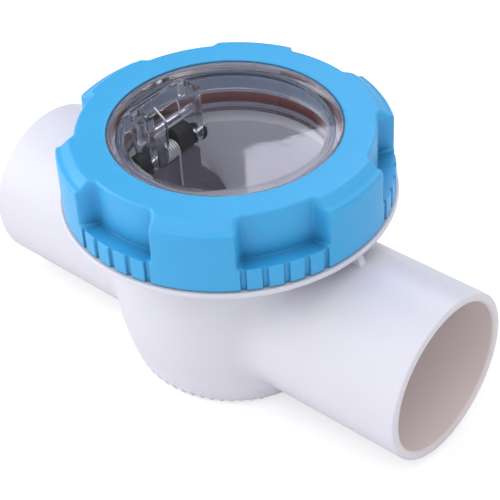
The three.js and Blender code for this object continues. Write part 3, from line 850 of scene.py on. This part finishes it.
RING_INSIDE = np.array(
    [(50.4, 39.2), (49.8, 39.2), (RING_BORE_R, 39.8)]
    + [(RING_BORE_R, 44), (RING_BORE_R, 50), (RING_BORE_R, 56)]
    + [(RING_BORE_R, 61.3), (48.9, 61.6), (41.7, 61.6), (41.5, 61.8), (41.5, 64.6)]
    + arc(42.1, 64.6, 0.6, PI, QUARTER, 4)[1:-1]
)
POCKET_PITCH = PI / 3
POCKET_HALF = math.radians(15.0)
POCKET_BLEND = math.radians(1.75)  # half the angle over which a pad turns into a pocket
GRIP_PITCH = math.radians(7.1)
GRIP_SLOTS = range(-2, 3)  # grip slots under each pocket, counted from its middle
GRIP_HALF_WIDTH = 0.95
GRIP_SOFT = 0.24
GRIP_DEPTH = 1.0
GRIP_TOP = 48.2


def ease(t):
    """Smooth step from 0 to 1."""
    return t * t * (3 - 2 * t)


def ring_angles():
    """Angles of the ring's sections, closer together where the outline changes."""
    half, blend, pad_middle = POCKET_HALF, POCKET_BLEND, POCKET_PITCH / 2
    span = list(np.linspace(-pad_middle, -half - blend, 10, endpoint=False))
    span += list(np.linspace(-half - blend, -half + blend, 14, endpoint=False))
    half_slot = GRIP_HALF_WIDTH / RING_R
    edge = (-0.006, -0.002, 0.002, 0.006)
    for i in GRIP_SLOTS:
        middle = math.radians(7.1 * i)
        stations = [middle - half_slot + offset for offset in edge]
        stations += [middle - 0.003, middle + 0.003]
        stations += [middle + half_slot + offset for offset in edge]
        if i > GRIP_SLOTS[0]:
            span += list(np.linspace(span[-1], stations[0], 7)[1:-1])
        span += stations
    span += list(np.linspace(half - blend, half + blend, 14, endpoint=False))
    span += list(np.linspace(half + blend, pad_middle, 10, endpoint=False))
    offsets = sorted(set(round(float(offset), 6) for offset in span))
    middles = [PI / 6 + k * POCKET_PITCH for k in range(6)]
    return sorted(set(round(middle + offset, 6) for middle in middles for offset in offsets))


def ring_section(from_middle):
    """Closed section at an angle from the middle of the nearest pocket."""
    inward = POCKET_HALF + POCKET_BLEND - abs(from_middle)
    pocket_share = ease(min(1.0, max(0.0, inward / (2 * POCKET_BLEND))))
    section = PAD * (1 - pocket_share) + POCKET * pocket_share
    slot = 0.0
    for i in GRIP_SLOTS:
        away = abs(from_middle - GRIP_PITCH * i) * RING_R
        inside = (GRIP_HALF_WIDTH + GRIP_SOFT - away) / (2 * GRIP_SOFT)
        slot = max(slot, min(1.0, max(0.0, inside)))
    slot = ease(slot)
    if slot > 0:
        limit = RING_R - GRIP_DEPTH * slot
        section[(section[:, 0] > limit) & (section[:, 1] < GRIP_TOP), 0] = limit
    return np.vstack([section, RING_INSIDE])


def sharpen_flat_top(mesh):
    """Sharp edges all round the flat top, so that it keeps its own normals."""
    top = (RING_TOP + AXIS_HEIGHT) / 1000 - 2e-6
    sides = {}
    for face in mesh.polygons:
        flat = all(mesh.vertices[i].co.z > top for i in face.vertices)
        for key in face.edge_keys:
            sides.setdefault(key, set()).add(flat)
    for edge in mesh.edges:
        if len(sides.get(edge.key, ())) == 2:
            edge.use_edge_sharp = True


def build_ring():
    angles = ring_angles()
    verts = []
    for angle in angles:
        section = ring_section(angle % POCKET_PITCH - POCKET_PITCH / 2)
        cosine, sine = math.cos(angle), math.sin(angle)
        verts += [(radius * cosine, radius * sine, z) for radius, z in section]
    faces = loft_faces(len(angles), len(PAD) + len(RING_INSIDE), closed=True)
    ring = make("ring_moulding", verts, faces)
    union(ring, helix("female", root=RING_BORE_R, crest=47.2, z0=43.7, turns=2.0))
    shade(ring, angle=40)
    sharpen_flat_top(ring.data)
    install(ring, "lock_ring", BLUE, rides="ring")


# ------------------------------------------------------------------ clear cover
# Window, skirt with the seal groove, and rim: radius, height, corner radius
COVER = [
    (32, 62.2), (38.5, 62.2, 5.5), (38.5, 43.4, 0.6), (43.6, 43.4, 0.9), (43.6, 45.4, 0.25),
    (40.1, 45.4, 0.4), (40.1, 51.5, 0.4), (43.6, 51.5, 0.25), (43.6, 57.0, 0.3),
    (NECK_R, 57.0, 0.4), (NECK_R, 60.2, 0.4), (41.2, 60.2, 0.3), (41.2, COVER_TOP, 0.7),
    (20, COVER_TOP),
]
EYE_R, EYE_HOLE_R = 3.6, 2.7  # hinge eye at the foot of each hanger
BRACKET_TOP = 63.0  # just inside the window
REAR_WALL_X = -34.4
BAR_X = (-26.95, -24.95)
# Cross bar: x, z, corner radius
BAR = [
    (BAR_X[0], 53.3, 0.3), (BAR_X[1], 53.3, 0.3), (BAR_X[1], 56.5, 0.98), (BAR_X[0], 56.5, 0.98),
]


def build_cover():
    profile = [(0, 62.2), (18, 62.2), (31, 62.2)]
    profile += rounded(COVER, closed=False, steps=10)
    profile += [(0, COVER_TOP)]
    cover = revolve("cover_moulding", profile, 192)
    union(cover, box("key", x=(-45.0, -43.0), y=(-2.6, 2.6), z=(53.8, 57.5), bevel=0.2))
    # two hangers that carry the hinge
    hanger = arc(HINGE_X, HINGE_Z, EYE_R, PI, TAU, 24)
    hanger += [(HINGE_X + EYE_R, BRACKET_TOP), (REAR_WALL_X, BRACKET_TOP), (REAR_WALL_X, 55.0)]
    for start, end in ((-13.9, -10.6), (10.6, 13.9)):
        union(cover, prism("arm", hanger, "Y", start, end, bevel=0.45))
        cut(cover, rod("eye", EYE_HOLE_R, start - 1, end + 1, 48, "Y", HINGE))
    union(cover, prism("cross_bar", rounded(BAR, steps=6), "Y", -17.0, 12.0))
    union(cover, box("wing", x=BAR_X, y=(-17.0, -12.0), z=(53.9, BRACKET_TOP), bevel=0.4))
    rear_x = (REAR_WALL_X, -32.6)
    union(cover, box("rear_wall", x=rear_x, y=(-16.9, 17.1), z=(55.0, BRACKET_TOP), bevel=0.4))
    shade(cover, angle=30)
    install(cover, "sight_cover", CLEAR, rides="body")


def build_cover_seals():
    """Oval cord in the cover's groove, and the slip washer under the lock ring's top."""
    centre_r, centre_z, half_width, half_height, count = 42.05, 48.3, 1.75, 2.5, 28
    turns = [TAU * i / count for i in range(count)]
    oval = [
        (centre_r + half_width * math.cos(turn), centre_z + half_height * math.sin(turn))
        for turn in turns
    ]
    cord = turned("o_ring_cord", oval, segments=160)
    install(cord, "cover_o_ring", RED, rides="body")
    slip = turned("slip_ring", tube(41.6, 46.6, 60.5, 61.3, 0.15), segments=160)
    install(slip, "slip_washer", SLIP, rides="ring_carrier")


# ------------------------------------------------------------------ flapper
# Disc with a shallow annular recess on its +X face: radius, x, corner radius
DISC = [
    (0, FLAPPER_BACK), (28.3, FLAPPER_BACK, 0.4), (28.3, FLAPPER_FRONT, 1.0),
    (22.5, FLAPPER_FRONT, 0.5), (21.9, -28.1, 0.4), (9.5, -28.1, 0.5),
    (8.8, FLAPPER_FRONT, 0.4), (0, FLAPPER_FRONT),
]
KNUCKLE_HALF = 9.4
# Strap from the disc up to the hinge: y, z
STRAP = [
    (-15, 18), (15, 18), (15, 33.7), (KNUCKLE_HALF, 38.8),
    (KNUCKLE_HALF, HINGE_Z), (-KNUCKLE_HALF, HINGE_Z), (-KNUCKLE_HALF, 38.8), (-15, 33.7),
]
# Domed screw head at -X and its shank: radius, x, corner radius
SCREW = [
    (0, -37.8), (3.4, -37.8, 0.9), (4.8, -36.7, 0.5), (4.8, -35.3, 0.2),
    (2.5, -35.3, 0.15), (2.5, -22.2, 0.2), (2.0, -21.7, 0.1), (0, -21.7),
]
NUT_R = 4.9


def build_arm():
    arm = revolve("arm_moulding", rounded(DISC, closed=False), 160, "X")
    union(arm, prism("strap", STRAP, "X", FLAPPER_BACK, FLAPPER_FRONT, bevel=0.5))
    ends = (-KNUCKLE_HALF, KNUCKLE_HALF)
    union(arm, rod("knuckle", 3.5, *ends, 64, "Y", HINGE, corner=0.5))
    lug_centre = (HINGE_X - 0.6, 0, HINGE_Z + 3.4)
    union(arm, rod("lug", 3.6, *ends, 64, "Y", lug_centre, corner=0.6))
    # gap for the spring coil
    cut(arm, box("gap", x=(-40, -15), y=(-5.7, 1.5), z=(36.2, 60), bevel=0.5))
    cut(arm, rod("bore", PIN_BORE_R, -20, 20, 48, "Y", HINGE))
    cut(arm, rod("hole", SCREW_HOLE_R, -50, 0, 48, "X"))
    shade(arm, angle=32)
    install(arm, "flapper_arm", GREY, rides="flapper")


def build_discs():
    """Seal, retainer plate and washer stacked on the screw."""
    seal = turned("seal_disc", tube(SCREW_HOLE_R, 28.3, -32.7, -30.7, 0.5), "X", segments=128)
    install(seal, "flapper_seal", SEAL, rides="flapper")
    plate = turned(
        "retainer_plate", tube(SCREW_HOLE_R, 20.0, -35.0, -33.0, 0.4), "X", segments=128
    )
    install(plate, "seal_retainer", STEEL, rides="flapper")
    washer = turned("plain_washer", tube(SCREW_HOLE_R, 6.5, -27.1, -26.2, 0.2), "X")
    install(washer, "nut_washer", STEEL, rides="flapper")


def build_nut():
    hexagon = [(NUT_R * math.cos(i * PI / 3), NUT_R * math.sin(i * PI / 3)) for i in range(6)]
    nut = prism("nut_hex", hexagon, "X", -25.9, -22.7, bevel=0.35)
    cut(nut, rod("nut_hole", SCREW_HOLE_R, -30, -20, 48, "X"))
    shade(nut, angle=32)
    install(nut, "retainer_nut", STEEL, rides="flapper")


def build_screw():
    screw = revolve("screw_turned", rounded(SCREW, closed=False), 72, "X")
    # cross recess in the head
    depth, length, width = (-39, -36.8), (-2.6, 2.6), (-0.5, 0.5)
    cut(screw, box("slot_a", x=depth, y=length, z=width))
    cut(screw, box("slot_b", x=depth, y=width, z=length))
    shade(screw, angle=32)
    install(screw, "retainer_screw", STEEL, rides="flapper")


# ------------------------------------------------------------------ hinge
# Pin with a clip groove near each end: radius, y, corner radius
PIN = [
    (0, -22.1), (1.5, -22.1, 0.4), (1.5, -21.2, 0.1), (1.1, -21.2), (1.1, -20.2),
    (1.5, -20.2, 0.1), (1.5, 15.9, 0.1), (1.1, 15.9), (1.1, 16.9), (1.5, 16.9, 0.1),
    (1.5, 17.9, 0.4), (0, 17.9),
]
# The left bush's second head, set higher: radius, y, corner radius
RAISED_HEAD = [(0, -14.2), (4.6, -14.2, 0.3), (4.6, -19.2, 0.9), (0, -19.2)]
RAISED_HEAD_CENTRE = (HINGE_X, 0, HINGE_Z + 1.4)


def build_pin():
    pin = turned("pin_turned", PIN, "Y", HINGE, segments=48, closed=False)
    install(pin, "hinge_pin", STEEL, rides="body")
    sleeve = turned("sleeve_tube", tube(PIN_BORE_R, 2.3, -5.4, 1.2, 0.1), "Y", HINGE, segments=48)
    install(sleeve, "spring_sleeve", SLIP, rides="body")


def build_bush(side, sign, end, head_r):
    """Bush, thrust washer and pin clip on one side; end is the bush's outer face."""
    profile = [
        (PIN_BORE_R, 10.6, 0.1), (2.4, 10.6, 0.2), (2.4, 14.2),
        (head_r, 14.2, 0.3), (head_r, end, 0.8), (PIN_BORE_R, end, 0.2),
    ]
    bush = revolve(f"bush_turned_{side}", rounded(mirrored(profile, sign)), 64, "Y", HINGE)
    if side == "left":
        head = rounded(RAISED_HEAD, closed=False)
        union(bush, revolve("raised_head", head, 64, "Y", RAISED_HEAD_CENTRE))
        cut(bush, rod("bush_bore", PIN_BORE_R, -25, 0, 64, "Y", HINGE))
    shade(bush, angle=34)
    install(bush, f"bush_{side}", BLACK, rides="body")
    section = mirrored(tube(PIN_BORE_R, 3.3, 9.7, 10.3, 0.12), sign)
    thrust = turned(f"thrust_ring_{side}", section, "Y", HINGE, segments=64)
    install(thrust, f"thrust_washer_{side}", BLACK, rides="flapper")
    section = mirrored(tube(1.4, 3.0, end + 0.3, end + 1.1, 0.12), sign)
    clip = turned(f"clip_ring_{side}", section, "Y", HINGE, segments=64)
    install(clip, f"pin_clip_{side}", STEEL, rides="body")


# ------------------------------------------------------------------ torsion spring
COIL_R = 3.3
COIL_TURNS = 5
COIL_PITCH = 1.08
COIL_STEPS = 36  # stations per turn
COIL_START = -4.8
COIL_END = COIL_START + COIL_PITCH * COIL_TURNS
WIRE_R = 0.45
LEG_X = HINGE_X + COIL_R
KNEE_Z = 57.3
KNEE_DROP = 1.6
HOOK_X, HOOK_Z = 5.4, 3.9  # run and rise of the hook above the knee
HOOK_SHARES = (1.0, 0.85, 0.7, 0.55, 0.4, 0.26)
TAIL = 19.0


def spring_path():
    """Centre line: hook, knee, upright leg, coil, then the tail down to the flapper."""
    path = [(LEG_X - HOOK_X * f, COIL_START, KNEE_Z + HOOK_Z * f) for f in HOOK_SHARES]
    for k in range(1, 8):
        t = k / 8
        hook = HOOK_SHARES[-1] * (1 - t) ** 2
        z = KNEE_Z + HOOK_Z * hook - KNEE_DROP * t * t
        path.append((LEG_X - HOOK_X * hook, COIL_START, z))
    path += [(LEG_X, COIL_START, z) for z in np.linspace(KNEE_Z - KNEE_DROP, HINGE_Z, 12)[:-1]]
    for k in range(COIL_TURNS * COIL_STEPS + 1):
        turn = -TAU * k / COIL_STEPS
        x, z = HINGE_X + COIL_R * math.cos(turn), HINGE_Z + COIL_R * math.sin(turn)
        path.append((x, COIL_START + COIL_PITCH * k / COIL_STEPS, z))
    for down in np.linspace(0, TAIL, 26)[1:]:
        lean = down * down / 6 if down < 3 else down - 1.5
        path.append((LEG_X - 0.135 * lean, COIL_END + 0.13 * lean, HINGE_Z - down))
    return [np.array(point, float) for point in path]


def build_spring():
    path = spring_path()
    frames = []
    side = np.array([0.0, 1.0, 0.0])
    for i in range(len(path)):
        tangent = path[min(i + 1, len(path) - 1)] - path[max(i - 1, 0)]
        tangent = tangent / np.linalg.norm(tangent)
        side = side - tangent * (side @ tangent)
        side = side / np.linalg.norm(side)
        frames.append((side, np.cross(tangent, side)))
    circle = [(WIRE_R * math.cos(TAU * i / 16), WIRE_R * math.sin(TAU * i / 16)) for i in range(16)]
    small = [(x * 0.6, y * 0.6) for x, y in circle]
    outlines = [small] + [circle] * (len(path) - 2) + [small]
    spring = sweep("spring_wire", path, frames, outlines)
    shade(spring, angle=50, weighted=False)
    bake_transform(spring)
    install(spring, "torsion_spring", WIRE)


# ------------------------------------------------------------------ floor, world and lights
def build_floor():
    """Floor that looks brighter to the camera than it does to the valve."""
    size, z = 6, -0.0002
    corners = [(-size, -size, z), (size, -size, z), (size, size, z), (-size, size, z)]
    mesh = bpy.data.meshes.new("floor")
    mesh.from_pydata(corners, [], [(0, 1, 2, 3)])
    floor = link(bpy.data.objects.new("floor", mesh))
    material, nodes = new_material("floor_look")
    camera_ray = nodes.add("LightPath").outputs["Is Camera Ray"]
    bounced = nodes.add("BsdfDiffuse", {"Color": (0.86, 0.86, 0.87, 1)}).outputs[0]
    base = nodes.add("BsdfDiffuse", {"Color": (0.62, 0.62, 0.62, 1)}).outputs[0]
    glow = nodes.add("Emission", {"Strength": 0.56}).outputs[0]
    seen = nodes.add("AddShader", {0: base, 1: glow}).outputs[0]
    nodes.add("OutputMaterial", {"Surface": nodes.mix_shader(camera_ray, bounced, seen)})
    mesh.materials.append(material)


KEY_AZIMUTH = 132.5  # degrees
WORLD_LOW = 0.49  # strength at the horizon
WORLD_RISE = 0.68  # added straight up
WORLD_SIDE = 0.14  # added toward azimuth 165
WORLD_GAP = 0.90  # taken away behind the key light


def direction(azimuth, elevation):
    azimuth, elevation = math.radians(azimuth), math.radians(elevation)
    level = math.cos(elevation)
    return np.array([level * math.cos(azimuth), level * math.sin(azimuth), math.sin(elevation)])


def build_world():
    """Studio dome: brighter overhead, with a dark gap behind the key light."""
    world = bpy.data.worlds.new("studio")
    bpy.context.scene.world = world
    world.use_nodes = True
    nodes = Nodes(world.node_tree)
    background = world.node_tree.nodes["Background"]
    background.inputs["Color"].default_value = (0.97, 0.98, 1.0, 1)
    view = nodes.coordinates("Generated")
    toward_gap = nodes.vector_math("DOT_PRODUCT", view, tuple(direction(KEY_AZIMUTH, 39)))
    gap = nodes.remap(
        toward_gap,
        source=(0.66, 0.96),
        target=(1.0, 1.0 - WORLD_GAP),
        interpolation_type="SMOOTHSTEP",
    )
    height = nodes.split(view)["Z"]
    side = nodes.vector_math("DOT_PRODUCT", view, tuple(direction(165, 0) * WORLD_SIDE))
    level = nodes.math("ADD", side, WORLD_LOW)
    dome = nodes.math("MULTIPLY_ADD", height, WORLD_RISE, level)
    nodes.feed(background, "Strength", nodes.product(dome, gap))


def pose(obj, x_axis, y_axis, z_axis, place):
    obj.matrix_world = Matrix([*zip(x_axis, y_axis, z_axis, place), (0, 0, 0, 1)])


def softbox(name, toward, distance, width, height, radiance, color=(1, 1, 1), corner=None):
    """Area light facing the valve; toward and corner are (azimuth, elevation) seen from it.

    With a corner, the light slides in its plane until its lower corner on the side of
    growing azimuth lies in that direction.
    """
    aim = np.array([0.03, -0.005, 0.0977])
    facing = direction(*toward)
    centre = aim + facing * distance
    side = np.cross([0, 0, 1.0], facing)
    side /= np.linalg.norm(side)
    rise = np.cross(facing, side)
    if corner:
        ray = direction(*corner)
        lower_corner = aim + ray * (distance / float(ray @ facing))
        centre = lower_corner - side * width / 2 + rise * height / 2
    light = bpy.data.lights.new(name, "AREA")
    light.shape = "RECTANGLE"
    light.size = width
    light.size_y = height
    light.energy = radiance * PI * width * height
    light.color = color
    lamp = link(bpy.data.objects.new(name, light))
    pose(lamp, side, rise, facing, centre)


def build_lights():
    softbox(
        "key_back",
        toward=(150, 0),
        distance=8.0,
        width=10.5,
        height=9.0,
        radiance=2.4,
        color=(0.99, 0.97, 1.12),
        corner=(KEY_AZIMUTH, 35.1),
    )
    softbox("fill_left", toward=(-145, 20), distance=1.6, width=1.2, height=1.2, radiance=2.0)
    softbox("fill_front", toward=(-60, 60), distance=1.8, width=1.0, height=1.0, radiance=0.6)


# ------------------------------------------------------------------ camera and render
def build_camera():
    lens = bpy.data.cameras.new("camera")
    camera = link(bpy.data.objects.new("camera", lens))
    pose(
        camera,
        x_axis=(0.76105272, 0.64716615, -0.04443791),
        y_axis=(-0.38244319, 0.50296627, 0.77508847),
        z_axis=(0.52396179, -0.57288821, 0.63028814),
        place=(0.29289462, -0.31115437, 0.35511966 + AXIS_HEIGHT / 1000),
    )
    lens.sensor_width = 36.0
    lens.lens = 106.94286
    lens.clip_start = 0.01
    lens.clip_end = 50
    bpy.context.scene.camera = camera


def set_render():
    scene = bpy.context.scene
    scene.view_settings.view_transform = "Standard"
    scene.view_settings.look = "None"
    cycles = scene.cycles
    cycles.max_bounces = 14
    cycles.diffuse_bounces = 5
    cycles.glossy_bounces = 6
    cycles.transmission_bounces = 14
    cycles.transparent_max_bounces = 16
    cycles.caustics_refractive = False
    cycles.caustics_reflective = False


# ------------------------------------------------------------------ build
build_body()
build_ring()
build_cover()
build_cover_seals()
build_arm()
build_discs()
build_nut()
build_screw()
build_pin()
build_bush("left", sign=-1, end=20.0, head_r=4.6)
build_bush("right", sign=1, end=15.7, head_r=4.0)
build_spring()
build_floor()
build_world()
build_lights()
build_camera()
set_render()
